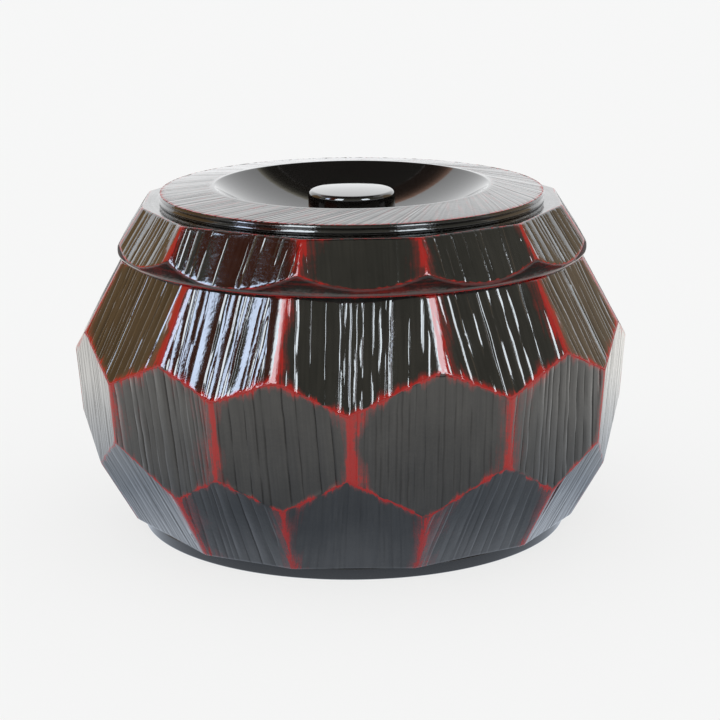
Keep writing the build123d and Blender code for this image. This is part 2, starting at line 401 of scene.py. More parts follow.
class RingMesh:
    """Points and faces of a closed piece that is built ring by ring round the axis."""

    def __init__(self):
        self.points = []
        self.faces = []
        self.grain = []
        self.rub = []
        self.dull = []
        self.slots = []
        self.slot = 0
        self.count = 0

    def ring(self, azimuth, radius, z, rub=UNRUBBED, dull=0.0):
        """Adds a ring of points and returns it as (first point, azimuths)."""
        azimuth = np.asarray(azimuth, float)
        radius, z, rub, dull = (np.broadcast_to(v, azimuth.shape) for v in (radius, z, rub, dull))
        self.points.append(np.stack([radius * np.sin(azimuth), -radius * np.cos(azimuth), z], 1))
        self.rub.append(rub)
        self.dull.append(dull)
        first = self.count
        self.count += len(azimuth)
        return first, azimuth

    def pole(self, z):
        """Adds one point on the axis."""
        self.points.append(np.array([[0.0, 0.0, z]]))
        self.rub.append(np.array([UNRUBBED]))
        self.dull.append(np.array([0.0]))
        self.count += 1
        return self.count - 1

    def keep(self, faces, grain=None, turn_over=False):
        """Stores faces with their texture places, turned over where the rings run the other way."""
        grain = self.plain_grain(faces) if grain is None else grain
        self.slots.append(np.full(len(faces), self.slot))
        self.faces.append(faces[:, ::-1] if turn_over else faces)
        self.grain.append(grain[:, ::-1] if turn_over else grain)

    def sheet(self, upper, lower, grain=None, turn_over=False):
        """Joins two rings with as many points each. Grain is the two rings' texture places."""
        first, around = upper
        second = lower[0]
        n = len(around)
        here = np.arange(n)
        after = (here + 1) % n
        self.keep(np.stack([first + here, first + after, second + after, second + here], 1), grain, turn_over)

    def zip(self, upper, lower, turn_over=False):
        """Joins two rings whose points are spaced differently."""
        (first, a), (second, b) = upper, lower
        na, nb = len(a), len(b)
        a0 = a[0]
        start = int(np.argmin(np.abs(wrapped(b - a0))))
        unroll_a = np.append(a - a0, math.tau)
        order = (start + np.arange(nb)) % nb
        rest = wrapped(b[order] - a0)
        rest = np.append(rest, rest[0] + math.tau)
        for k in range(1, nb + 1):
            while rest[k] < rest[k - 1]:
                rest[k] += math.tau
        i = j = 0
        made = []
        while i < na or j < nb:
            pa, pb = first + i % na, second + order[j % nb]
            if j >= nb or (i < na and unroll_a[i + 1] <= rest[j + 1]):
                made.append((pa, first + (i + 1) % na, pb))
                i += 1
            else:
                made.append((pa, second + order[(j + 1) % nb], pb))
                j += 1
        self.keep(np.array(made), None, turn_over)

    def join(self, upper, lower, turn_over=False):
        """Joins two rings, whether or not they have as many points."""
        if len(upper[1]) == len(lower[1]):
            self.sheet(upper, lower, None, turn_over)
        else:
            self.zip(upper, lower, turn_over)

    def fan(self, ring, pole, turn_over=False):
        """Closes a ring to a point on the axis."""
        first, around = ring
        n = len(around)
        here = np.arange(n)
        self.keep(np.stack([first + here, first + (here + 1) % n, np.full(n, pole)], 1), None, turn_over)

    def plain_grain(self, faces):
        """Texture places of faces that have no carved lines: turning marks run round the piece."""
        points = np.concatenate(self.points)[faces]
        around = np.arctan2(points[..., 0], -points[..., 1])
        wide = around.max(1) - around.min(1) > math.pi
        around[wide] = np.where(around[wide] < 0, around[wide] + math.tau, around[wide])
        reach = np.hypot(points[..., 0], points[..., 1])
        return np.stack([points[..., 2] * GRAIN + reach * GRAIN, around * 0.7 + 9], -1)

    def turned(self, outline, azimuth, previous=None, rub=UNRUBBED, turn_over=False):
        """Adds turned rings through an outline and returns the last one. A radius of 0 closes the piece."""
        for radius, z in outline:
            if radius <= 0:
                self.fan(previous, self.pole(z), turn_over)
                return None
            ring = self.ring(azimuth, radius, z, rub)
            if previous is not None:
                self.join(previous, ring, turn_over)
            previous = ring
        return previous

    def build(self, name, materials):
        """Makes the object, with its faces turned outwards."""
        points = np.concatenate(self.points)
        rub = np.concatenate(self.rub)
        sizes = np.concatenate([np.full(len(f), f.shape[1]) for f in self.faces])
        corners = np.concatenate([f.ravel() for f in self.faces])
        grain = np.concatenate([g.reshape(-1, 2) for g in self.grain])
        mesh = bpy.data.meshes.new(name)
        mesh.vertices.add(len(points))
        mesh.vertices.foreach_set("co", points.astype(np.float32).ravel())
        mesh.loops.add(len(corners))
        mesh.loops.foreach_set("vertex_index", corners.astype(np.int32))
        mesh.polygons.add(len(sizes))
        starts = np.concatenate([[0], np.cumsum(sizes)[:-1]])
        mesh.polygons.foreach_set("loop_start", starts.astype(np.int32))
        mesh.update(calc_edges=True)
        uv = mesh.uv_layers.new(name="grain")
        uv.data.foreach_set("uv", grain.astype(np.float32).ravel())
        for layer, values in (("rub", rub), ("dull", np.concatenate(self.dull))):
            worn = mesh.attributes.new(layer, "FLOAT", "POINT")
            worn.data.foreach_set("value", np.clip(values, 0, UNRUBBED).astype(np.float32))
        mesh.validate()
        normals = np.zeros(len(mesh.polygons) * 3, np.float32)
        centres = np.zeros(len(mesh.polygons) * 3, np.float32)
        areas = np.zeros(len(mesh.polygons), np.float32)
        mesh.polygons.foreach_get("normal", normals)
        mesh.polygons.foreach_get("center", centres)
        mesh.polygons.foreach_get("area", areas)
        if float(((normals * centres).reshape(-1, 3).sum(1) * areas).sum()) < 0:
            mesh.flip_normals()
        mesh.polygons.foreach_set("use_smooth", np.ones(len(mesh.polygons), bool))
        mesh.set_sharp_from_angle(angle=math.radians(52))
        for material in materials:
            mesh.materials.append(material)
        mesh.polygons.foreach_set("material_index", np.concatenate(self.slots).astype(np.int32))
        made = bpy.data.objects.new(name, mesh)
        bpy.context.scene.collection.objects.link(made)
        return made


def even_ring(steps=TURNED_STEPS):
    """Evenly spaced azimuths."""
    return np.arange(steps) * math.tau / steps - math.pi


# Carved rows


# What a column holds on to: nothing, or the ridge on its left or on its right.
FREE, LEFT, RIGHT = range(3)
# Columns that keep a ridge's own shape, by their distance from it.
RIDGE_COLUMNS = (0.25 * MM, 0.6 * MM, 1.1 * MM)
# Least room between two columns, and between the left ridge and a column.
COLUMN_GAP = 0.07 * MM
RIDGE_GAP = 0.2 * MM
# Distance down a facet over which the spread of its lines is counted.
FAN_REACH = 20 * MM
# Width of the strips outside the outermost lines, and the least width of a strip that gets its own column.
OUTER_STRIP = 3 * MM
WIDE_STRIP = 2.2 * MM
# How far down a line its depth and its path take to swing, and how far on along them the next facet starts.
DEPTH_SWING = 22 * MM
PATH_SWING = 14 * MM
DEPTH_START = 31 * MM
PATH_START = 50 * MM
# Distances over which a line fades out: beside a ridge, at the row's edges, in its dullness, and where it is
# pressed aside.
RIDGE_FADE = 0.9 * MM
EDGE_FADE = 0.8 * MM
DULL_FADE = 0.6 * MM
PRESSED_FADE = 0.25 * MM


class Line(NamedTuple):
    """One carved line. Strength and wander are functions of the place down the facet."""

    depth: float
    strength: object
    presence: float
    wander: object


class Column(NamedTuple):
    """One run of points down a facet: its place across, its depth, and the ridge that it holds on to."""

    place: float
    depth: float
    hold: int = FREE
    line: Line = None
    groove: float = 0.0
    dull: float = 0.0


class Cut(NamedTuple):
    """How the lines of one row are cut. The tables go by facet; what they leave out is usual or random."""

    width: float
    slope: float
    profile: tuple = FULL_CUT
    marks: dict = {}
    slants: dict = {}
    tips: dict = {}
    force: dict = {}
    facing: dict = {}
    unpolished: float = 0.0
    edge_keep: float = 0.35


def strip_depth(strip, place, raised=0.0):
    """Depth of a tipped strip at a place across the facet."""
    slope, middle, depth = strip
    return max(0.0, depth + slope * (place - middle) - raised)


def plan_facet(rng, half, carving, cut, facet):
    """Columns across one facet, from left to right, for its carved lines and the strips between them."""
    marks = cut.marks.get(facet, ())
    lines = [m * MM for m in marks]
    place = lines[0] if lines else 0.0
    while place > -half:
        place -= carving.line_spacing * rng.uniform(0.4, 1.5)
        lines.insert(0, place)
    added = len(lines) - len(marks)
    place = lines[-1]
    while place < half:
        place += carving.line_spacing * rng.uniform(0.4, 1.5)
        lines.append(place)
    edges = [lines[0] - OUTER_STRIP] + lines + [lines[-1] + OUTER_STRIP]
    tips = cut.tips.get(facet, ())
    force = cut.force.get(facet, 1.0)
    strips = []
    for n, (a, b) in enumerate(zip(edges[:-1], edges[1:])):
        tilt = math.tan(carving.strip_tilt) * rng.uniform(-1, 1) * min(1.0, force)
        if 0 <= n - added < len(tips):
            tilt = math.tan(math.radians(tips[n - added]))
        strips.append((tilt, (a + b) / 2, abs(tilt) * (b - a) / 2 + rng.uniform(0, 0.05) * MM))
    columns = [Column(m, 0.0, LEFT) for m in RIDGE_COLUMNS]
    for n, x in enumerate(lines):
        w = cut.width * rng.uniform(0.75, 1.3)
        left, right = strips[n], strips[n + 1]
        deep = w * math.tan(cut.slope * rng.uniform(0.72, 1.25)) * force
        strength, presence = waver(rng, DEPTH_SWING, 1.0), rng.uniform(0.1, 1.0)
        line = Line(deep, strength, presence, waver(rng, PATH_SWING, carving.wobble))
        profile = cut.profile
        if rng.uniform() < cut.facing.get(facet, 0.5):
            profile = [(-out, down, dull) for out, down, dull in reversed(profile)]
        for out, down, dull in profile:
            at = x + out * w
            level = strip_depth(left if out < 0 else right, at)
            columns.append(Column(at, level, FREE, line, down, dull * min(1.0, force)))
        if n + 1 < len(lines) and lines[n + 1] - x > WIDE_STRIP:
            mid = (x + lines[n + 1]) / 2
            columns.append(Column(mid, strip_depth(right, mid, 0.01 * MM), FREE, line))
    return columns + [Column(-m, 0.0, RIGHT) for m in reversed(RIDGE_COLUMNS)]


def row_steps(gap_top, gap_bottom, middles):
    """Places down a row: distance below its top, share of the way to its foot, distance above its foot."""
    steps = [(d, 0.0, 0.0) for d in gap_top]
    steps += [(gap_top[-1], (k + 1) / (middles + 1), gap_bottom[-1]) for k in range(middles)]
    steps += [(0.0, 1.0, d) for d in reversed(gap_bottom)]
    return steps


def lay_columns(row, facet, columns, slant, middle_level, top, bottom, steps):
    """Lays a facet's columns out between its ridges, and its points between the row's top and foot.

    Gives azimuths and heights, then each point's distance below the middle level, how far it was pressed
    aside, and its distances from the nearest ridge and from the row's top or foot. The last column is the
    right ridge."""
    n = len(columns)
    lean_by, fan = slant
    place = np.array([c.place for c in columns])
    hold = np.array([c.hold for c in columns])
    order = np.arange(n) * COLUMN_GAP
    z = np.full((len(steps), n + 1), middle_level)
    for _ in range(5):
        flats = row.flats[facet] - (z - row.level) * row.slope
        left = flats * np.tan(wrapped(row.ridge((facet - 1) % FACETS, z) - row.azimuths[facet]))
        right = flats * np.tan(wrapped(row.ridge(facet, z) - row.azimuths[facet]))
        down = middle_level - z[:, :n]
        free = place * (1 + fan * down / FAN_REACH) + lean_by * down
        for j, column in enumerate(columns):
            if column.line is not None:
                free[:, j] += column.line.wander(down[:, j] + PATH_START * facet)
        free = np.where(hold == LEFT, left[:, :n] + place, free)
        free = np.where(hold == RIGHT, right[:, :n] + place, free)
        squeezed = free - order
        squeezed = np.minimum.accumulate(squeezed[:, ::-1], 1)[:, ::-1]
        squeezed = np.maximum(squeezed, left[:, :n] + RIDGE_GAP)
        squeezed = np.maximum.accumulate(squeezed, 1) + order
        across = np.concatenate([squeezed, right[:, n:]], 1)
        around = row.azimuths[facet] + np.arctan2(across, flats)
        high, low = top(around), bottom(around)
        for i, (below, part, above) in enumerate(steps):
            start = high[i] - below
            z[i] = start + (low[i] + above - start) * part
    toward = np.minimum(across - left, right - across)
    near_edge = np.minimum(np.abs(high - z), np.abs(z - low))
    return around, z, down, np.abs(squeezed - free), toward, near_edge


def cut_columns(columns, facet, cut, down, moved, toward, near_edge):
    """Depth and dullness of a facet's points. Lines fade at its edges and where they are pressed aside."""
    depth = np.zeros(toward.shape)
    dull = np.zeros(toward.shape)
    for j, column in enumerate(columns):
        sunk = np.full(len(toward), column.depth)
        if column.groove:
            line = column.line
            run = line.presence * 0.45 + line.strength(down[:, j] + DEPTH_START * facet) * 1.3
            sunk = sunk + column.groove * line.depth * np.clip(0.62 + run, 0.05, 1.2)
            dull[:, j] = column.dull * cut.unpolished * np.clip(0.7 + run, 0, 1)
        pressed = np.exp(-((moved[:, j] / PRESSED_FADE) ** 2))
        depth[:, j] = sunk * pressed
        dull[:, j] *= pressed
    fade = np.clip(toward / RIDGE_FADE, 0, 1)
    fade = fade * (cut.edge_keep + (1 - cut.edge_keep) * np.clip(near_edge / EDGE_FADE, 0, 1))
    return depth * fade, dull * np.clip(toward / DULL_FADE, 0, 1)


def carve(mesh, row, surface, top, bottom, steps, carving, rng, grain_shift, wear, cut):
    """Adds one carved row of facets to the mesh and returns its first and last ring."""
    ends = np.array([np.mean(top(row.azimuths)), np.mean(bottom(row.azimuths))])
    middle_level = float(ends.mean())
    half = float(np.max(row.flat_at(ends))) * math.tan(PITCH / 2)
    layout = [plan_facet(rng, half, carving, cut, k) for k in range(FACETS)]
    slants = []
    for k in range(FACETS):
        drawn = (rng.uniform(-0.05, 0.05), rng.uniform(-0.12, 0.12))
        slants.append(cut.slants.get(k, drawn))
    parts = []
    for k, (columns, slant) in enumerate(zip(layout, slants)):
        around, z, *gaps = lay_columns(row, k, columns, slant, middle_level, top, bottom, steps)
        depth, dull = cut_columns(columns, k, cut, *gaps)
        parts.append((around, z, depth, dull, gaps[2], np.full(z.shape, k)))
    azimuth, height, depth, dull, ridge_gap, facets = (np.concatenate(part, 1) for part in zip(*parts))
    facet_of = facets[0]
    radius = surface(azimuth, height) - depth
    rub = wear(azimuth, height, ridge_gap, facet_of)
    rings = [mesh.ring(*values) for values in zip(azimuth, radius, height, rub, dull)]
    here = np.arange(len(facet_of))
    after = np.roll(here, -1)
    owner = facet_of[after]

    def places(i, columns):
        """Texture places of points of ring i, along the lines of the facet that their faces belong to."""
        flats = row.flats[owner] - (height[i, columns] - row.level) * row.slope
        across = flats * np.tan(wrapped(azimuth[i, columns] - row.azimuths[owner]))
        down = middle_level - height[i, columns]
        for k, (lean_by, fan) in enumerate(slants):
            mine = owner == k
            across[mine] = (across[mine] - lean_by * down[mine]) / (1 + fan * down[mine] / FAN_REACH)
        over = across + owner * FACET_GRAIN + grain_shift
        return np.stack([over * GRAIN, (down + grain_shift) * GRAIN], -1)

    for i in range(len(rings) - 1):
        corners = (places(i, here), places(i, after), places(i + 1, after), places(i + 1, here))
        mesh.sheet(rings[i], rings[i + 1], np.stack(corners, 1))
    return rings[0], rings[-1]


def turning_height(holds, low, high):
    """Height up to which holds(azimuth, height) is true, as a function of azimuth, found by halving."""

    def height(azimuth):
        azimuth = np.asarray(azimuth, float)
        bottom = np.full(azimuth.shape, low)
        top = np.full(azimuth.shape, high)
        for _ in range(24):
            middle = (bottom + top) / 2
            over = holds(azimuth, middle)
            bottom = np.where(over, middle, bottom)
            top = np.where(over, top, middle)
        return (bottom + top) / 2

    return height


def crease_height(above, below, low, high):
    """Height at which two rows of facets meet, as a function of azimuth."""
    return turning_height(
        lambda azimuth, z: above.radius(azimuth, z, False) > below.radius(azimuth, z, False), low, high)


def level_line(height):
    """A line round the piece at one height, as a function of azimuth."""
    return lambda azimuth: np.full(np.shape(azimuth), height)


def beside(line, shift):
    """A line that runs above another by a height, as a function of azimuth."""
    return lambda azimuth: line(azimuth) + shift


# Materials


def feed(socket, value):
    """Links a socket to another one, or sets it to a number or a colour."""
    if isinstance(value, bpy.types.NodeSocket):
        socket.id_data.links.new(value, socket)
    else:
        socket.default_value = value


def add_node(tree, kind, place, label=None, inputs=None, **settings):
    """Adds a shader node with its settings, and feeds its inputs by name or number."""
    node = tree.nodes.new(kind)
    node.location = place
    if label:
        node.label = label
    for key, value in settings.items():
        setattr(node, key, value)
    for key, value in (inputs or {}).items():
        feed(node.inputs[key], value)
    return node


def empty_tree(owner):
    """The node tree of a new material or world, with nothing in it."""
    owner.use_nodes = True
    owner.node_tree.nodes.clear()
    return owner.node_tree


def stored(tree, name, place, label):
    """A value that is stored in the mesh."""
    return add_node(tree, "ShaderNodeAttribute", place, label, attribute_name=name).outputs["Fac"]


def noise(tree, source, place, scale, detail, roughness, label):
    """Noise over the places that a socket gives."""
    inputs = {"Vector": source, "Scale": scale, "Detail": detail, "Roughness": roughness}
    return add_node(tree, "ShaderNodeTexNoise", place, label, inputs).outputs["Fac"]


def stretched_noise(tree, place, across, along, detail, label):
    """Noise drawn out along the carved lines, over the grain map."""
    x, y = place
    grain = add_node(tree, "ShaderNodeUVMap", (x - 250, y), "Grain", uv_map="grain").outputs["UV"]
    shape = add_node(tree, "ShaderNodeMapping", place, label, {"Vector": grain, "Scale": (across, along, 1)})
    return noise(tree, shape.outputs["Vector"], (x + 200, y), 1.0, detail, 0.55, label)


def math_node(tree, operation, place, *values, clamp=False):
    """A math node whose inputs are sockets or numbers."""
    inputs = dict(enumerate(values))
    node = add_node(tree, "ShaderNodeMath", place, None, inputs, operation=operation, use_clamp=clamp)
    return node.outputs[0]


def map_range(tree, value, place, label, low, high, to_low=0.0, to_high=1.0, smooth=False):
    """A value brought from one range to another."""
    inputs = {"Value": value, "From Min": low, "From Max": high, "To Min": to_low, "To Max": to_high}
    kind = "SMOOTHSTEP" if smooth else "LINEAR"
    node = add_node(tree, "ShaderNodeMapRange", place, label, inputs, interpolation_type=kind)
    return node.outputs["Result"]


def mix_colour(tree, factor, under, over, place, label):
    """One colour over another."""
    inputs = {"Factor": factor, "A": under, "B": over}
    return add_node(tree, "ShaderNodeMix", place, label, inputs, data_type="RGBA").outputs["Result"]


def shaded(tint, *shares):
    """A colour times one share, or one for each channel, as a socket takes it."""
    return (*(c * s for c, s in zip(tint, shares if len(shares) == 3 else shares * 3)), 1)


def lacquer_skin(tree, place, colours, inputs, relief, strength, distance):
    """A coloured coat under a clear one with a fine relief, as the tree's surface."""
    x, y = place
    bump_inputs = {"Height": relief, "Strength": strength, "Distance": distance}
    bump = add_node(tree, "ShaderNodeBump", (x - 350, y - 400), "Fine relief", bump_inputs)
    skin = add_node(tree, "ShaderNodeBsdfPrincipled", place, None, {
        "IOR": 1.5,
        "Coat Weight": 1.0,
        "Coat IOR": 1.5,
        "Coat Roughness": colours.roughness * 0.6,
        "Normal": bump.outputs["Normal"],
        "Coat Normal": bump.outputs["Normal"],
        **inputs,
    })
    add_node(tree, "ShaderNodeOutputMaterial", (x + 300, y), None, {"Surface": skin.outputs["BSDF"]})


def rubbed_lacquer(name, colours):
    """Black lacquer over red, rubbed through along the edges, with fine planing marks down each facet."""
    material = bpy.data.materials.new(name)
    tree = empty_tree(material)
    body = add_node(tree, "ShaderNodeTexCoord", (-1500, -300)).outputs["Object"]
    streaks = stretched_noise(tree, (-1250, 200), 105, 5, 3, "Streaks")
    specks = noise(tree, body, (-1050, -100), 900, 3, 0.6, "Specks")
    uneven = noise(tree, body, (-1050, -350), 170, 2, 0.5, "Uneven rubbing")
    # Distance from a rubbed edge, pushed to and fro by the noises
    pushes = [
        math_node(tree, "MULTIPLY_ADD", (-850, y), source, amount, -amount / 2)
        for source, amount, y in ((streaks, 3.2, 200), (specks, 0.8, 0), (uneven, 1.6, -200))
    ]
    push = math_node(tree, "ADD", (-650, 100), pushes[0], pushes[1])
    push = math_node(tree, "ADD", (-500, 50), push, pushes[2])
    reach = math_node(tree, "ADD", (-350, 200), stored(tree, "rub", (-1500, 300), "Rubbing"), push)
    bare = map_range(tree, reach, (-200, 250), "Rubbed through", 1.15, 0.5, smooth=True)
    thin = map_range(tree, reach, (-200, 0), "Thin coat", 2.3, 0.95, smooth=True)
    # Black of uneven depth, then the red that shows through it, then bare red
    cloud = noise(tree, body, (-1050, -1100), 45, 4, 0.6, "Clouds in the coat")
    clouded = math_node(tree, "MULTIPLY", (-850, -1100), cloud, streaks)
    coat_depth = map_range(tree, clouded, (-650, -1100), "Depth of the coat", 0.14, 0.36)
    black = mix_colour(
        tree, coat_depth, shaded(colours.black, 0.6), shaded(colours.black, 1.9), (-200, 500), "Black coat")
    veil = math_node(tree, "MULTIPLY", (-50, -50), thin, 0.8)
    tone = mix_colour(tree, veil, black, (*colours.deep_red, 1), (0, 100), "Thin over black")
    coat = mix_colour(tree, bare, tone, (*colours.red, 1), (180, 150), "Red over that")
    # Relief and polish
    marks = stretched_noise(tree, (-1250, -600), 420, 14, 2, "Planing marks")
    ripple = noise(tree, body, (-1050, -850), 800, 1, 0.5, "Ripple")
    marks = math_node(tree, "MULTIPLY", (-650, -600), marks, 0.08)
    ripple = math_node(tree, "MULTIPLY", (-650, -800), ripple, 0.36)
    relief = math_node(tree, "ADD", (-450, -650), marks, ripple)
    rough = colours.roughness
    roughness = map_range(tree, uneven, (-200, -300), "Polish", 0.3, 0.75, rough * 0.8, rough * 1.6)
    unpolished = stored(tree, "dull", (-200, -900), "Unpolished lines")
    worn = math_node(tree, "MULTIPLY", (0, -700), bare, 0.9)
    coated = math_node(tree, "SUBTRACT", (150, -700), 1.0, worn, clamp=True)
    polished = math_node(tree, "SUBTRACT", (0, -850), 1.0, unpolished, clamp=True)
    clear = math_node(tree, "MULTIPLY", (300, -750), coated, polished)
    hazy = math_node(tree, "MULTIPLY_ADD", (150, -1100), coat_depth, 0.28, 0.72, clamp=True)
    lacquer_skin(tree, (420, 0), colours, {
        "Base Color": coat,
        "Roughness": roughness,
        "Coat Weight": math_node(tree, "MULTIPLY", (400, -850), clear, hazy),
        "Specular IOR Level": math_node(tree, "MULTIPLY_ADD", (150, -950), unpolished, -0.42, 0.5),
    }, relief, 0.75, 0.1 * MM)
    return material


def turned_lacquer(name, base, colours):
    """Plain gloss lacquer over turned wood, with faint ripples round the piece."""
    material = bpy.data.materials.new(name)
    tree = empty_tree(material)
    body = add_node(tree, "ShaderNodeTexCoord", (-1100, -300)).outputs["Object"]
    ripple = stretched_noise(tree, (-850, 0), 60, 0.6, 2, "Turning ripple")
    cloud = noise(tree, body, (-700, -300), 60, 3, 0.55, "Clouds in the coat")
    rough = colours.roughness
    lacquer_skin(tree, (100, 0), colours, {
        "Base Color": mix_colour(
            tree, cloud, (*base, 1), shaded(base, 1.8, 1.5, 1.4), (-250, 200), "Depth of the coat"),
        "Roughness": map_range(tree, cloud, (-250, -100), "Polish", 0.3, 0.75, rough * 0.5, rough * 1.1),
    }, ripple, 0.4, 0.02 * MM)
    return material


def shared_material(name, make, *args):
    """A material that several pieces use, made once."""
    return bpy.data.materials.get(name) or make(name, *args)


def rubbed_gloss(colours):
    """The finish of the carved outsides."""
    return shared_material("rubbed_gloss", rubbed_lacquer, colours)


def turned_gloss(colours):
    """The finish of the turned pieces."""
    return shared_material("turned_gloss", turned_lacquer, tuple(colours.plain_black), colours)


# Shapes of the tub


def tub_rows(tub):
    """The three rows of facets of the tub."""
    belly = tub.rim_flat + tub.belly_swell
    base = tub.foot_radius + tub.base_overhang
    wander = tub.carving_wander
    upper = FacetRow(UPPER_START, UPPER_TURNS, UPPER_DEPTHS, wander, tub.seam_height, tub.rim_flat,
                     tub.belly_swell / tub.upper_row, tub.upper_ridge, UPPER_WORN)
    middle = FacetRow(MIDDLE_START, MIDDLE_TURNS, MIDDLE_DEPTHS, wander, tub.belly_height, belly,
                      math.tan(tub.middle_lean), tub.ridge)
    lower = FacetRow(LOWER_START, LOWER_TURNS, LOWER_DEPTHS, wander, tub.foot_reveal, base,
                     -(belly - base) / tub.lower_row, tub.ridge)
    return upper, middle, lower


def rim_fall(z, edge, size, sign):
    """How far a rounded edge pulls the surface in near a height; sign is 1 for an upper edge."""
    near = np.clip((z - edge) * sign + size, 0, size) / size
    return size * (1 - np.sqrt(np.maximum(0, 1 - near**2)))


def tub_inside(tub):
    """The turned inside of the tub, from the mouth's edge to the middle of the floor."""
    mouth = tub.rim_flat - tub.rim_wall
    floor = tub.foot_reveal + tub.floor_thickness
    base = tub.foot_radius + tub.base_overhang
    belly = tub.rim_flat + tub.belly_swell
    corner = base + tub.floor_thickness * (belly - base) / tub.lower_row - tub.corner_wall
    neck = tub.seam_height - tub.neck_depth
    a, b, c = (mouth, neck), (belly - tub.belly_wall, tub.belly_height), (corner, floor)
    middle, radius = circle_through(a, b, c)
    first = math.atan2(a[1] - middle[1], a[0] - middle[0])
    last = math.atan2(c[1] - middle[1], c[0] - middle[0])
    wall = arc_points(middle, radius, first, last - first, 40)
    top = corner_arc((mouth, tub.seam_height), a, wall[6], tub.neck_rounding * 0.95, 6)
    low = corner_arc(wall[-9], c, (0, floor), tub.floor_rounding, 10)
    between = [p for p in wall if low[0][1] + 0.4 * MM < p[1] < top[-1][1] - 0.4 * MM]
    edge = [(mouth + tub.mouth_bevel, tub.seam_height), (mouth, tub.seam_height - tub.mouth_bevel)]
    return edge + top + between + low + [(corner * s, floor) for s in (0.7, 0.5, 0.3, 0.12, 0)]


def tub_underside(tub):
    """The turned underside of the tub, with the groove for the foot ring's tongue."""
    centre = tub.foot_radius - tub.foot_width / 2
    half = tub.tongue_width / 2 + tub.glue_gap
    z = tub.foot_reveal
    top = z + tub.tongue_height + tub.glue_gap
    groove = [(centre + half, z), (centre + half, top), (centre - half, top), (centre - half, z)]
    return [(tub.foot_radius - 0.3 * MM, z)] + groove + [(r * MM, z) for r in (48, 32, 16, 5, 0)]


def wear_map(row, rubs, creases, rng):
    """A function that gives how far each point lies from a rubbed edge, in half widths of the rubbed band.

    Rubs go by ridge. Creases are (height by azimuth, half width, unevenness)."""
    along = [waver(rng, 20 * MM, 0.35) for _ in range(FACETS)]
    jagged = [(waver(rng, 5 * MM, 1.0), waver(rng, 30 * MM, 1.0)) for _ in creases]

    def wear(azimuth, height, ridge_gap, facet_of):
        scale = np.zeros_like(height)
        spread = np.zeros_like(height)
        for k in range(FACETS):
            mine = facet_of == k
            turn = wrapped(azimuth[:, mine] - row.azimuths[k])
            before = (k - 1) % FACETS
            left_width, left_spread = rubs[before % len(rubs)][1]
            right_width, right_spread = rubs[k % len(rubs)][0]
            left = left_width * MM * (1 + along[before](height[:, mine]))
            right = right_width * MM * (1 + along[k](height[:, mine]))
            scale[:, mine] = np.where(turn > 0, right, left)
            spread[:, mine] = np.where(turn > 0, right_spread, left_spread)
        near = (np.maximum(ridge_gap, 0) / scale) ** spread
        total = 1 / np.maximum(near, 0.02) ** 2
        run = azimuth * 80 * MM
        for (edge, width, uneven), (short, long) in zip(creases, jagged):
            wide = width * np.maximum(0.12, 1 + uneven * (1.6 * short(run) + long(run)))
            far = (np.abs(height - edge(azimuth)) + 0.04 * MM) / wide
            total = total + 1 / np.maximum(far, 0.02) ** 2
        return 1 / np.sqrt(total)

    return wear


def faceted_tub(tub, carving, materials):
    """The carved and hollowed tub."""
    upper, middle, lower = tub_rows(tub)
    belly = tub.belly_height
    fork = crease_height(upper, middle, belly, tub.seam_height)
    hip = crease_height(middle, lower, tub.foot_reveal, belly)

    def surface(azimuth, z):
        rows = [row.radius(azimuth, z) for row in (upper, middle, lower)]
        made = soft_lower(rows, tub.crease)
        made = made - rim_fall(z, tub.seam_height, tub.edge_round, 1)
        return made - rim_fall(z, tub.foot_reveal, tub.edge_round, -1)

    rng = np.random.RandomState(carving.seed)
    top = level_line(tub.seam_height)
    base = level_line(tub.foot_reveal)
    join = 0.22 * MM
    # Distances of the rings from a row's edge: at a crease, and closer together at a rim
    near = [0, 0.3 * MM, 0.8 * MM, 1.6 * MM, 3.0 * MM]
    edge = [0, 0.06 * MM, 0.18 * MM, 0.42 * MM, 1.0 * MM, 2.2 * MM]
    upper_wear = wear_map(upper, UPPER_RUBS, ((fork, 0.85 * MM, 0.6), (top, 0.25 * MM, 0.5)), rng)
    middle_wear = wear_map(middle, MIDDLE_RUBS, ((fork, 0.9 * MM, 0.65), (hip, 0.42 * MM, 0.9)), rng)
    lower_wear = wear_map(lower, LOWER_RUBS, ((hip, 0.5 * MM, 0.9), (base, 0.05 * MM, 0.6)), rng)
    upper_cut = Cut(carving.line_width, carving.line_slope, FULL_CUT, FRONT_LINES, UPPER_SLANTS, FRONT_TIPS,
                    UPPER_FORCE, UPPER_FACING, edge_keep=0.7)
    middle_cut = Cut(carving.low_width, carving.low_slope, PLAIN_CUT, BELLY_LINES, MIDDLE_SLANTS,
                     force=MIDDLE_FORCE, unpolished=0.6)
    lower_cut = Cut(carving.low_width, carving.low_slope, PLAIN_CUT, force=LOWER_FORCE, unpolished=0.4)
    mesh = RingMesh()
    rows = (
        (upper, top, beside(fork, join), row_steps(edge, near, 9), upper_wear, upper_cut),
        (middle, beside(fork, -join), beside(hip, join), row_steps(near, near, 8), middle_wear, middle_cut),
        (lower, beside(hip, -join), base, row_steps(near, edge, 7), lower_wear, lower_cut),
    )
    carved = [
        carve(mesh, row, surface, start, end, steps, carving, rng, n * ROW_GRAIN, wear, cut)
        for n, (row, start, end, steps, wear, cut) in enumerate(rows)
    ]
    mesh.zip(carved[0][1], carved[1][0])
    mesh.zip(carved[1][1], carved[2][0])
    even = even_ring()
    mesh.slot = 1
    mesh.turned(tub_inside(tub), even, carved[0][0], turn_over=True)
    mesh.turned(tub_underside(tub), even, carved[2][1])
    return mesh.build("faceted_tub", materials)


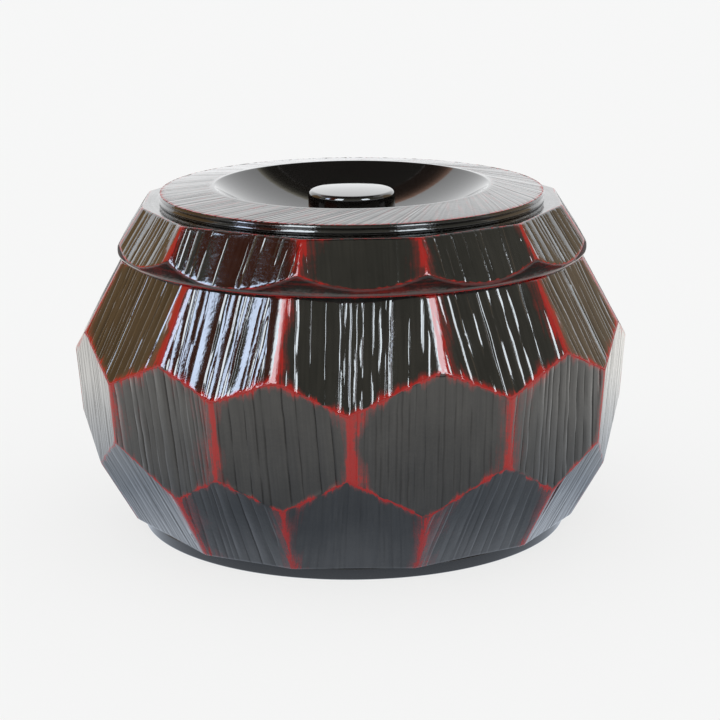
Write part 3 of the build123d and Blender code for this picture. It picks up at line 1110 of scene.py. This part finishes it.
def turned_foot(tub, materials):
    """The turned foot ring with its tongue."""
    outer, inner = tub.foot_radius, tub.foot_radius - tub.foot_width
    seat = tub.foot_reveal
    centre, half, top = outer - tub.foot_width / 2, tub.tongue_width / 2, seat + tub.tongue_height
    bevel = 0.12 * MM
    outline = [(centre + half, seat), (outer - bevel, seat), (outer, seat - bevel), (outer, seat - 2 * bevel)]
    outline += corner_arc((outer, seat), (outer, 0), (inner, 0), tub.foot_rounding)
    outline += corner_arc((outer, 0), (inner, 0), (inner, seat), tub.foot_rounding)
    outline += [(inner, seat), (centre - half, seat), (centre - half, top), (centre + half, top)]
    mesh = RingMesh()
    even = even_ring()
    first = mesh.ring(even, *outline[0])
    mesh.sheet(mesh.turned(outline[1:], even, first), first)
    return mesh.build("turned_foot", materials)


# Shapes of the lid


def lid_row(tub, lid):
    """The row of facets round the lid's skirt."""
    return FacetRow(LID_START, LID_TURNS, LID_DEPTHS, tub.carving_wander, tub.seam_height + lid.shoulder_rise,
                    tub.rim_flat - lid.shoulder_inset, math.tan(lid.lid_lean), lid.ridge)


def plate_lines(rng, outer, carving):
    """Azimuths of the grooves that cross the plate, at its edge."""
    places = []
    around = 0.0
    while around < math.tau - 0.6 * carving.line_spacing / outer:
        places.append(around)
        around += carving.line_spacing * rng.uniform(0.5, 1.35) / outer
    return np.array(places) - math.pi


def plate_slant(azimuth):
    """How far the plate's grooves turn from straight outwards, by azimuth at the plate's edge."""
    turned = np.clip((np.degrees(azimuth) + 85) / 75, 0, 1)
    back = np.clip((180 - np.degrees(azimuth)) / 60, 0, 1)
    return np.radians(35) * turned * turned * (3 - 2 * turned) * (0.35 + 0.65 * back)


def grooved_plate(mesh, tub, lid, carving, rng, start):
    """The plate's grooved top, from its crisp edge to the dish's rim."""
    outer = tub.rim_flat - lid.shoulder_inset - lid.plate_inset
    edge_height = tub.seam_height + lid.shoulder_rise + lid.plate_rise
    width = lid.plate_border / MM - lid.dish_rim_rounding / MM
    lines = plate_lines(rng, outer, carving)
    n = len(lines)
    half = carving.line_width * 1.1 / outer
    shoulder = half * 1.4
    gaps = (np.roll(lines, -1) - lines) % math.tau
    tilt = np.tan(carving.strip_tilt * 0.3) * rng.uniform(-1, 1, n)
    base = np.abs(tilt) * gaps * outer / 2 + 0.02 * MM
    deep = rng.uniform(0.03, 0.14, n) * MM
    ends = base + tilt * gaps * outer / 2
    starts = base - tilt * gaps * outer / 2
    around = []
    depth = []
    for k in range(n):
        left, right = ends[k - 1], starts[k]
        around += [lines[k] + off for off in (-shoulder, -half, 0.0, half, shoulder, gaps[k] / 2)]
        depth += [left, left, max(left, right) + deep[k], right, right, base[k]]
    around = np.array(around)
    depth = np.array(depth)
    slant = plate_slant(wrapped(around))
    foot = outer * np.sin(slant)
    wobble = [waver(rng, 16 * MM, 0.2 * MM) for _ in range(n)]
    rings = []
    grain = []
    # Distances in from the plate's edge, in mm
    for s in (0, 0.08, 0.25, 0.7, 1.6, 3.2, 5.0, 7.0, 9.0, 11.0, 13.0, 14.6, 15.6, 16.2, width):
        r = outer - (s + 0.4 * max(0.0, 1 - s / 3)) * MM
        turn = np.arcsin(np.clip(foot / r, -1, 1)) - slant
        drift = np.repeat([wave(r) for wave in wobble], 6) * min(1.0, s / 3)
        fade = min(1.0, max(0.0, (width - s) / 1.3))
        z = edge_height + lid.dish_rim_rise * (outer - r) / lid.plate_border
        z = z - depth * fade * (1 + 1.8 * max(0.0, 1 - s / 1.2))
        rub = np.minimum(min(UNRUBBED, 0.2 + s / 0.9), 1.35 + 1.4 * np.abs(np.sin(around * 37 + s * 0.2)))
        if s == 0:
            z = z - 0.03 * MM
        rings.append(mesh.ring(around + turn + drift / r, r, z, rub))
        down = np.full(len(around), s * MM * GRAIN + 4)
        grain.append(np.stack([np.unwrap(around) * outer * GRAIN, down], -1))
    for upper, lower, a, b in zip(rings, rings[1:], grain, grain[1:]):
        a_next, b_next = np.roll(a, -1, 0), np.roll(b, -1, 0)
        a_next[-1, 0] += math.tau * outer * GRAIN
        b_next[-1, 0] += math.tau * outer * GRAIN
        mesh.sheet(upper, lower, np.stack([a, a_next, b_next, b], 1), True)
    mesh.zip(start, rings[0], True)
    return rings[-1]


def carved_lid(tub, lid, carving, materials):
    """The lid: faceted skirt, beaded and grooved plate, sunk dish and hollow underside."""
    row = lid_row(tub, lid)
    band = tub.rim_flat / math.cos(PITCH / 2) + lid.band_overhang
    seam = tub.seam_height
    shoulder = seam + lid.shoulder_rise
    plate = shoulder + lid.plate_rise
    outer = tub.rim_flat - lid.shoulder_inset - lid.plate_inset
    rng = np.random.RandomState(carving.seed + 11)

    def surface(azimuth, z):
        facets = row.radius(azimuth, z)
        made = soft_lower([facets, np.full(facets.shape, band)], 0.2 * MM)
        return made - rim_fall(z, shoulder, 0.35 * MM, 1)

    top = level_line(shoulder)
    # Where the facets run out into the band
    arcs = turning_height(lambda azimuth, z: row.radius(azimuth, z, False) > band, seam, shoulder)
    mesh = RingMesh()
    # Distances of the rings from the skirt's top, and from its arcs
    edge = [0, 0.05 * MM, 0.15 * MM, 0.35 * MM, 0.9 * MM, 1.8 * MM]
    near = [0, 0.25 * MM, 0.7 * MM, 1.4 * MM]
    worn = wear_map(row, LID_RUBS, ((top, 0.07 * MM, 0.9), (arcs, 0.14 * MM, 0.9)), rng)
    cut = Cut(carving.line_width * 0.85, carving.line_slope * 0.8, marks=LID_LINES, force=LID_FORCE,
              facing=LID_FACING)
    steps = row_steps(edge, near, 5)
    foot = beside(arcs, 0.12 * MM)
    skirt = carve(mesh, row, surface, top, foot, steps, carving, rng, 3 * ROW_GRAIN, worn, cut)
    even = even_ring(TURNED_STEPS * 2)
    # From the facets down over the band, by distance below the arcs, rubbing, and least height, in mm
    line = arcs(even)
    previous = skirt[1]
    for down, rub, least in ((0.12, 1.0, 0.1), (0.45, 1.6, 0.06), (1.0, 1.8, 0.02)):
        z = np.maximum(line - down * MM, seam + lid.band_rounding + least * MM)
        ring = mesh.ring(even, surface(even, z), z, rub, 0.6)
        mesh.join(previous, ring)
        previous = ring
    outline = lid_underside(tub, lid, band)
    previous = mesh.turned([(band, seam + lid.band_rounding + 0.01 * MM)], even, previous, 1.9)
    for points, rub in ((outline[1:3], 1.7), (outline[3:6], 0.7), (outline[6:8], 2.0)):
        previous = mesh.turned(points, even, previous, rub)
    mesh.slot = 1
    mesh.turned(outline[8:], even, previous)
    mesh.slot = 0
    # From the facets up over the shoulder, the beads, the plate and the dish
    bead = lid.plate_rise / 2
    waist = outer - lid.bead_groove
    side = [(outer + 1.5 * MM, shoulder), (waist + 0.25 * MM, shoulder), (waist, shoulder + 0.05 * MM)]
    side += [(waist + lid.bead_groove * 0.95 * out, shoulder + bead * up) for out, up in BEAD]
    side += [(waist + lid.bead_groove * out, shoulder + bead * (1 + up)) for out, up in BEAD[:-2]]
    side.append((outer - 0.33 * MM, plate - 0.05 * MM))
    inset = np.hypot(*mesh.points[0][:, :2].T) - 0.15 * MM
    edge_ring = mesh.ring(skirt[0][1], inset, shoulder, 1.5)
    mesh.sheet(skirt[0], edge_ring, None, True)
    last = mesh.turned(side, even, edge_ring, 5.0, True)
    inner = grooved_plate(mesh, tub, lid, carving, rng, last)
    mesh.slot = 1
    mesh.turned(lid_dish(tub, lid, plate, outer), even, inner, UNRUBBED, True)
    return mesh.build("carved_lid", materials)


def lid_underside(tub, lid, band):
    """The turned underside of the lid, from the band's edge over the lip to the middle of the hollow."""
    seam = tub.seam_height
    plate = seam + lid.shoulder_rise + lid.plate_rise
    rim = tub.rim_flat - lid.shoulder_inset - lid.plate_inset - lid.plate_border
    lip = tub.rim_flat - tub.rim_wall - lid.lip_clearance
    bore = lip - lid.lip_wall
    lip_foot = seam - lid.lip_depth
    crown = plate - lid.crown_thickness
    crown_radius = bore - lid.crown_width
    middle = (lid.centre_land, plate + lid.dish_rim_rise - lid.dish_depth - lid.centre_thickness)
    ball = bowl_radius(lid.knob_radius + lid.seat_margin, rim, lid.dish_depth) + lid.centre_thickness
    wall = [middle] + arc_between(middle, (crown_radius, crown), ball, 24)
    bend = lid.hollow_rounding
    upper_bend = corner_arc((bore, crown), (crown_radius, crown), wall[-6], bend, 6)
    lower_bend = corner_arc(wall[4], wall[0], (0, middle[1]), bend, 4)
    between = [p for p in reversed(wall) if lower_bend[0][0] + 0.3 * MM < p[0] < upper_bend[-1][0] - 0.3 * MM]
    outline = corner_arc((band, seam + lid.shoulder_rise), (band, seam), (lip, seam), lid.band_rounding, 7)
    outline += [(lip + 0.5 * MM, seam), (lip, seam)]
    outline += corner_arc((lip, seam), (lip, lip_foot), (bore, lip_foot), lid.lip_rounding)
    outline += corner_arc((lip, lip_foot), (bore, lip_foot), (bore, crown), lid.lip_rounding)
    outline += corner_arc((bore, lip_foot), (bore, crown), (crown_radius, crown), bend)
    return outline + upper_bend + between + lower_bend + [(r * MM, middle[1]) for r in (12, 4, 0)]


def lid_dish(tub, lid, plate, outer):
    """The turned dish, from its rim to the floor of the hole for the knob's tenon."""
    rim = outer - lid.plate_border
    rim_height = plate + lid.dish_rim_rise - 0.01 * MM
    seat = plate + lid.dish_rim_rise - lid.dish_depth
    seat_radius = lid.knob_radius + lid.seat_margin
    ball = bowl_radius(seat_radius, rim, lid.dish_depth)
    hole = lid.tenon_radius + tub.glue_gap
    hole_floor = seat - lid.tenon_length - tub.glue_gap
    inward = bowl_point(ball, rim - 1.5 * MM, rim, rim_height)
    outline = corner_arc((outer, plate), (rim, rim_height), inward, lid.dish_rim_rounding, 8)
    steps = 28
    for k in range(1, steps + 1):
        r = rim + (seat_radius - rim) * k / steps
        if r < outline[-1][0] - 0.2 * MM:
            outline.append(bowl_point(ball, r, rim, rim_height))
    outline += [(seat_radius - 0.4 * MM, seat), (hole, seat)]
    return outline + [(r, hole_floor) for r in (hole, hole / 2, 0)]


def turned_knob(tub, lid, materials):
    """The turned finger knob with its tenon."""
    plate = tub.seam_height + lid.shoulder_rise + lid.plate_rise
    seat = plate + lid.dish_rim_rise - lid.dish_depth
    top = seat + lid.knob_height
    rounding = lid.knob_rounding
    inner = lid.knob_radius - rounding
    ball = bowl_radius(0, inner, lid.knob_dome)
    foot = seat - lid.tenon_length
    bevel = 0.2 * MM
    outline = [(3 * MM, foot), (lid.tenon_radius, foot), (lid.tenon_radius, seat)]
    outline += [(lid.knob_radius - bevel, seat), (lid.knob_radius, seat + bevel)]
    outline += [(lid.knob_radius, seat + 4 * MM)]
    outline += arc_points((inner, top - lid.knob_dome - rounding), rounding, 0.0, math.pi / 2, 8)
    for r in (inner * s for s in (0.85, 0.65, 0.45, 0.22, 0)):
        outline.append((r, top - (ball - math.sqrt(ball**2 - r**2))))
    mesh = RingMesh()
    even = even_ring(96)
    first = mesh.ring(even, *outline[0])
    mesh.fan(first, mesh.pole(foot), True)
    mesh.turned(outline[1:], even, first)
    return mesh.build("turned_knob", materials)


# Stage


def camera_matrix(studio):
    """The camera's place and turn, as the picture was taken."""
    p, y, r = -studio.pitch, studio.yaw, studio.roll
    ahead = Vector((math.sin(y) * math.cos(p), math.cos(y) * math.cos(p), math.sin(p)))
    right = Vector((math.cos(y), -math.sin(y), 0))
    up = right.cross(ahead)
    turned_right = right * math.cos(r) + up * math.sin(r)
    turned_up = up * math.cos(r) - right * math.sin(r)
    turn = Matrix((turned_right, turned_up, -ahead)).transposed()
    return Matrix.Translation((0, -studio.camera_distance, studio.camera_height)) @ turn.to_4x4()


def glow(name, tint, strength):
    """A panel that gives off light, weaker where the panel is shaded."""
    material = bpy.data.materials.new(name)
    tree = empty_tree(material)
    shade = stored(tree, "shade", (-400, 0), "Shade")
    inputs = {"Color": (*tint, 1), "Strength": math_node(tree, "MULTIPLY", (-200, 0), shade, strength)}
    light = add_node(tree, "ShaderNodeEmission", (0, 0), None, inputs)
    add_node(tree, "ShaderNodeOutputMaterial", (200, 0), None, {"Surface": light.outputs[0]})
    return material


def panel(name, azimuths, elevations, distance, material, steps, shades):
    """A curved studio panel round the tub that only shows in reflections, placed by its angles in degrees.

    Shades are shares of its light, evenly spaced from its lower edge to its upper edge."""
    points, faces, tones = [], [], []
    rows = 12
    centre, half = (azimuths[0] + azimuths[1]) / 2, (azimuths[1] - azimuths[0]) / 2
    for i in range(rows + 1):
        up = math.radians(elevations[0] + (elevations[1] - elevations[0]) * i / rows)
        reach = distance * math.cos(up)
        height = ROOM_MIDDLE + distance * math.sin(up)
        tones += [float(np.interp(i / rows, np.linspace(0, 1, len(shades)), shades))] * (steps + 1)
        for k in range(steps + 1):
            az = math.radians(centre + half * (2 * k / steps - 1))
            points.append((reach * math.sin(az), -reach * math.cos(az), height))
    for i in range(rows):
        for k in range(steps):
            a = i * (steps + 1) + k
            faces.append((a, a + 1, a + steps + 2, a + steps + 1))
    mesh = bpy.data.meshes.new(name)
    mesh.from_pydata(points, [], faces)
    mesh.attributes.new("shade", "FLOAT", "POINT").data.foreach_set("value", tones)
    mesh.materials.append(material)
    card = bpy.data.objects.new(name, mesh)
    bpy.context.scene.collection.objects.link(card)
    card.visible_camera = False
    card.visible_diffuse = False
    card.visible_shadow = False
    card.visible_transmission = False


def floor_paint(studio):
    """The floor's white, half lit by the room and half plain, so that its shadows stay soft.

    The lacquer mirrors it with a painted shadow of the tub, dim and bluish close to the tub, white further
    out, and dim again past the table's edge."""
    paint = bpy.data.materials.new("studio_white")
    tree = empty_tree(paint)
    rays = add_node(tree, "ShaderNodeLightPath", (-700, 300)).outputs
    skin = add_node(tree, "ShaderNodeBsdfPrincipled", (0, 0), None, {
        "Base Color": (*studio.floor_colour, 1), "Roughness": 0.9, "Specular IOR Level": 0.1})
    white = add_node(tree, "ShaderNodeEmission", (0, 300), None, {"Color": (0.955, 0.955, 0.95, 1)})
    seen = math_node(tree, "MULTIPLY", (-400, 300), rays["Is Camera Ray"], 0.8)
    lit = add_node(tree, "ShaderNodeMixShader", (250, 200), None, {
        "Fac": seen, 1: skin.outputs["BSDF"], 2: white.outputs[0]})
    body = add_node(tree, "ShaderNodeTexCoord", (-700, -300)).outputs["Object"]
    spot = add_node(tree, "ShaderNodeVectorMath", (-500, -300), None, {0: body}, operation="LENGTH")
    # Painted shadow: the floor that the lacquer mirrors is a colour by distance from the axis, dim and bluish
    # close to the tub where its shadow falls.
    tone = add_node(tree, "ShaderNodeValToRGB", (-300, -300), "Floor by distance", {
        "Fac": spot.outputs["Value"]})
    stops = (
        (0.068, (0.62, 0.68, 0.77)), (0.085, (0.36, 0.41, 0.48)), (0.21, (0.98, 0.97, 0.94)),
        (0.33, (0.98, 0.95, 0.9)), (0.4, (0.13, 0.12, 0.12)), (0.8, (0.25, 0.24, 0.23)),
        (1.0, (0.97, 0.98, 1.0)),
    )
    while len(tone.color_ramp.elements) < len(stops):
        tone.color_ramp.elements.new(0.5)
    for stop, (place, tint) in zip(tone.color_ramp.elements, stops):
        stop.position = place
        stop.color = (*tint, 1)
    # Light that only reflections see: the floor with its painted shadow of the tub.
    mirror_floor_painted_shadow = add_node(tree, "ShaderNodeEmission", (100, -300), None, {"Color": tone.outputs["Color"]})
    blend = add_node(tree, "ShaderNodeMixShader", (450, 200), None, {
        "Fac": rays["Is Glossy Ray"], 1: lit.outputs[0], 2: mirror_floor_painted_shadow.outputs[0]})
    add_node(tree, "ShaderNodeOutputMaterial", (650, 200), None, {"Surface": blend.outputs[0]})
    return paint


def studio_floor(studio):
    """A round floor under the tub, 10 m across."""
    steps = 96
    rim = [(5 * math.cos(k * math.tau / steps), 5 * math.sin(k * math.tau / steps), 0) for k in range(steps)]
    mesh = bpy.data.meshes.new("studio_floor")
    mesh.from_pydata(rim, [], [tuple(range(steps))])
    mesh.materials.append(floor_paint(studio))
    floor = bpy.data.objects.new("studio_floor", mesh)
    floor.location.z = -0.02 * MM
    bpy.context.scene.collection.objects.link(floor)


def studio_light(studio):
    """Even light from all sides, with a white backdrop for what looks at it."""
    world = bpy.data.worlds.new("studio_light")
    bpy.context.scene.world = world
    tree = empty_tree(world)
    rays = add_node(tree, "ShaderNodeLightPath", (-600, 0)).outputs
    seen = math_node(tree, "ADD", (-400, 100), rays["Is Camera Ray"], rays["Is Glossy Ray"])
    seen = math_node(tree, "ADD", (-250, 100), seen, rays["Is Transmission Ray"], clamp=True)
    strength = map_range(tree, seen, (-100, 100), "White where seen", 0.0, 1.0, studio.sky_light, 1.0)
    sky = add_node(tree, "ShaderNodeBackground", (100, 0), None, {
        "Color": (0.98, 0.99, 1.0, 1), "Strength": strength})
    add_node(tree, "ShaderNodeOutputWorld", (300, 0), None, {"Surface": sky.outputs[0]})


def studio_room(studio):
    """The room that the gloss mirrors.

    Windows, a brown screen and a shelf stand before a dim wall in front, and warm cupboards to either side.
    Behind is a soft box, with a pale wall and two shaded beams above it."""
    window = studio.window_light
    back = studio.back_light
    even = (1.0, 1.0)
    brown = (0.34, 0.08, 0.035)
    # Each panel's name, azimuths, elevations, distance, light, tint, strength, steps and shades
    for name, azimuths, elevations, distance, light, tint, strength, steps, shades in (
        ("front_wall", (-92, 92), (14, 62), 2.2, "dim_wall", (1.0, 0.98, 0.82), studio.wall_light, 32, even),
        ("ceiling", (-180, 180), (58, 90), 2.4, "dark_ceiling", (1.0, 0.98, 0.9), 0.04, 48, even),
        ("far_left_window", (-77, -65.5), (20, 38), 1.9, "blue_window", (0.66, 0.78, 1.0), window, 12, even),
        ("left_screen", (-65, -47.5), (14, 38.5), 2.0, "red_brown", brown, 1.0, 12, even),
        ("left_shelf", (-88, -47.5), (38.5, 62), 2.0, "red_brown", brown, 1.0, 12, even),
        ("left_window", (-47, -25), (18, 50), 1.9, "window_light", (0.86, 0.94, 1.0), window, 12, even),
        ("right_window", (29, 51), (20, 45), 1.9, "window_light", (0.86, 0.94, 1.0), window, 12, even),
        ("left_cupboard", (-132, -94), (3, 36), 1.9, "warm_left", (0.5, 0.32, 0.155), 1.0, 12, even),
        ("right_cupboard", (94, 132), (3, 41), 1.9, "warm_right", (0.53, 0.41, 0.28), 1.0, 12, even),
        ("back_softbox", (136, 224), (1, 27), 2.1, "back_light", (0.98, 0.99, 1.0), back, 24, even),
        ("back_wall", (112, 248), (27, 58), 2.1, "pale_wall", (0.98, 0.99, 1.0), back, 24, even),
        ("left_beam", (180, 248), (43.5, 58), 1.9, "left_beam", (1.0, 0.6, 0.45), 1.0, 12,
         (0.85, 0.22, 0.06, 0.04, 0.04)),
        ("right_beam", (112, 180), (47.5, 58), 1.9, "right_beam", (1.0, 0.95, 0.78), 1.0, 12,
         (0.8, 0.2, 0.06, 0.04, 0.04)),
    ):
        material = shared_material(light, glow, tint, strength)
        panel(name, azimuths, elevations, distance, material, steps, shades)


def studio_camera(studio):
    """The camera, as the picture was taken."""
    cam = bpy.data.cameras.new("studio_camera")
    cam.sensor_width = 36
    cam.lens = studio.lens
    eye = bpy.data.objects.new("studio_camera", cam)
    bpy.context.scene.collection.objects.link(eye)
    eye.matrix_world = camera_matrix(studio)
    bpy.context.scene.camera = eye


class RICETUB_OT_tub(bpy.types.Operator):
    """Carve and hollow the tub"""

    bl_idname = "ricetub.tub"
    bl_label = "Carved tub"

    def execute(self, context):
        scene = context.scene
        colours = scene.rice_tub_colours
        inside = shared_material("inside_gloss", turned_lacquer, tuple(colours.inside), colours)
        materials = [rubbed_gloss(colours), inside]
        made = faceted_tub(scene.rice_tub_sizes, scene.rice_tub_carving, materials)
        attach(made, "tub")
        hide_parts("tub_body")
        return {"FINISHED"}


class RICETUB_OT_foot(bpy.types.Operator):
    """Turn the foot ring"""

    bl_idname = "ricetub.foot"
    bl_label = "Foot ring"

    def execute(self, context):
        scene = context.scene
        made = turned_foot(scene.rice_tub_sizes, [turned_gloss(scene.rice_tub_colours)])
        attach(made, "tub")
        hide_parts("foot_ring")
        return {"FINISHED"}


class RICETUB_OT_lid(bpy.types.Operator):
    """Carve and turn the lid"""

    bl_idname = "ricetub.lid"
    bl_label = "Carved lid"

    def execute(self, context):
        scene = context.scene
        colours = scene.rice_tub_colours
        materials = [rubbed_gloss(colours), turned_gloss(colours)]
        made = carved_lid(scene.rice_tub_sizes, scene.rice_tub_lid, scene.rice_tub_carving, materials)
        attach(made, "lid")
        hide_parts("lid_body")
        return {"FINISHED"}


class RICETUB_OT_knob(bpy.types.Operator):
    """Turn the finger knob"""

    bl_idname = "ricetub.knob"
    bl_label = "Finger knob"

    def execute(self, context):
        scene = context.scene
        materials = [turned_gloss(scene.rice_tub_colours)]
        made = turned_knob(scene.rice_tub_sizes, scene.rice_tub_lid, materials)
        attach(made, "lid")
        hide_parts("lid_knob")
        return {"FINISHED"}


class RICETUB_OT_studio(bpy.types.Operator):
    """Set the floor, the lights and the camera"""

    bl_idname = "ricetub.studio"
    bl_label = "Studio"

    def execute(self, context):
        scene = context.scene
        studio = scene.rice_tub_studio
        scene.view_settings.view_transform = "Standard"
        studio_floor(studio)
        studio_light(studio)
        studio_room(studio)
        studio_camera(studio)
        return {"FINISHED"}


class RICETUB_PT_panel(bpy.types.Panel):
    """Sizes, colours and steps of the rice tub"""

    bl_idname = "RICETUB_PT_panel"
    bl_label = "Rice Tub"
    bl_space_type = "VIEW_3D"
    bl_region_type = "UI"
    bl_category = "Rice Tub"

    def draw(self, context):
        layout = self.layout
        for step in STEPS:
            layout.operator(step.bl_idname)
        for name in GROUPS:
            box = layout.box()
            group = getattr(context.scene, name)
            for key in group.bl_rna.properties.keys():
                if key not in {"name", "rna_type"}:
                    box.prop(group, key)


GROUPS = {
    "rice_tub_sizes": TubSizes,
    "rice_tub_lid": LidSizes,
    "rice_tub_carving": CarvingSizes,
    "rice_tub_colours": LacquerColours,
    "rice_tub_studio": StudioSetup,
}
STEPS = (RICETUB_OT_tub, RICETUB_OT_foot, RICETUB_OT_lid, RICETUB_OT_knob, RICETUB_OT_studio)


def register():
    for kind in (*GROUPS.values(), *STEPS, RICETUB_PT_panel):
        bpy.utils.register_class(kind)
    for name, kind in GROUPS.items():
        setattr(bpy.types.Scene, name, PointerProperty(type=kind))


def unregister():
    for name in GROUPS:
        delattr(bpy.types.Scene, name)
    for kind in reversed((*GROUPS.values(), *STEPS, RICETUB_PT_panel)):
        bpy.utils.unregister_class(kind)


def main():
    register()
    bpy.ops.ricetub.tub()
    bpy.ops.ricetub.foot()
    bpy.ops.ricetub.lid()
    bpy.ops.ricetub.knob()
    bpy.ops.ricetub.studio()


if __name__ == "__main__":
    main()
